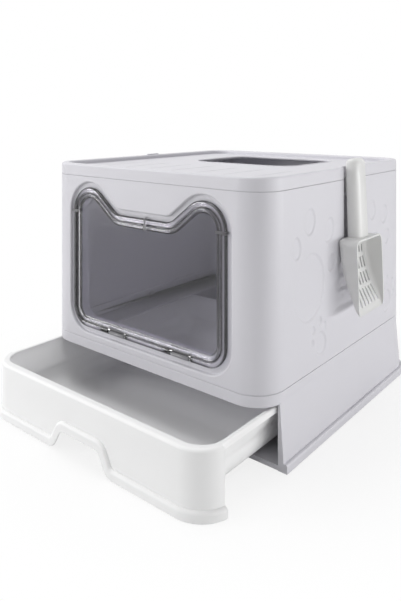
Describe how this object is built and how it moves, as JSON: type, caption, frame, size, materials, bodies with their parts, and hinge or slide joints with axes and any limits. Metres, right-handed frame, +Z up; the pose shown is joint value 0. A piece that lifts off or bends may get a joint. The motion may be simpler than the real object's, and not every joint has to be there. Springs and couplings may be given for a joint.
{
  "type": "drawer litter box",
  "caption": "Enclosed cat litter box with a pull-out litter drawer, a clear cat-ear flap door, a top exit in a grooved lid and a scoop hung on its side",
  "frame": {"origin": "on the ground, under the middle of the cabin, at the centre of the middle foot's underside", "axes": "+X to the object's right side, where the scoop hangs; +Y to its back; +Z up. The drawer is pulled out along -Y"},
  "size_m": [0.4683, 0.578, 0.3855],
  "materials": {
    "shell": "satin moulded, pale lavender grey",
    "feet": "matt",
    "drawer": "satin moulded, white",
    "clips": "satin moulded",
    "door": "clear, polished",
    "pins": "drawn wire",
    "trim": "soft edging",
    "scoop": "satin moulded, warm white"
  },
  "bodies": {
    "base": {"base_housing": "shell", "rubber_feet": "feet"},
    "drawer": {"drawer_tray": "drawer"},
    "hood": {"hood_shell": "shell", "hood_clips": "clips", "hinge_pins": "pins"},
    "door": {"door_panel": "door", "door_catches": "door"},
    "lid": {"lid_cover": "shell", "exit_trim": "trim"},
    "scoop": {"scoop": "scoop"}
  },
  "joints": [
    {"name": "drawer_slide", "type": "slide", "parent": "base", "child": "drawer", "axis": [0, -1, 0], "range_m": [-0.1115, 0.2]},
    {"name": "hood_lift", "type": "slide", "parent": "base", "child": "hood", "axis": [0, 0, 1], "range_m": [0, 0.3]},
    {"name": "door_hinge", "type": "hinge", "parent": "hood", "child": "door", "pos_m": [0, -0.2244, 0.1211], "axis": [1, 0, 0], "range_deg": [0, 95]},
    {"name": "lid_lift", "type": "slide", "parent": "hood", "child": "lid", "axis": [0, 0, 1], "range_m": [0, 0.12]},
    {"name": "scoop_lift", "type": "slide", "parent": "hood", "child": "scoop", "axis": [0, 0, 1], "range_m": [0, 0.06]}
  ]
}
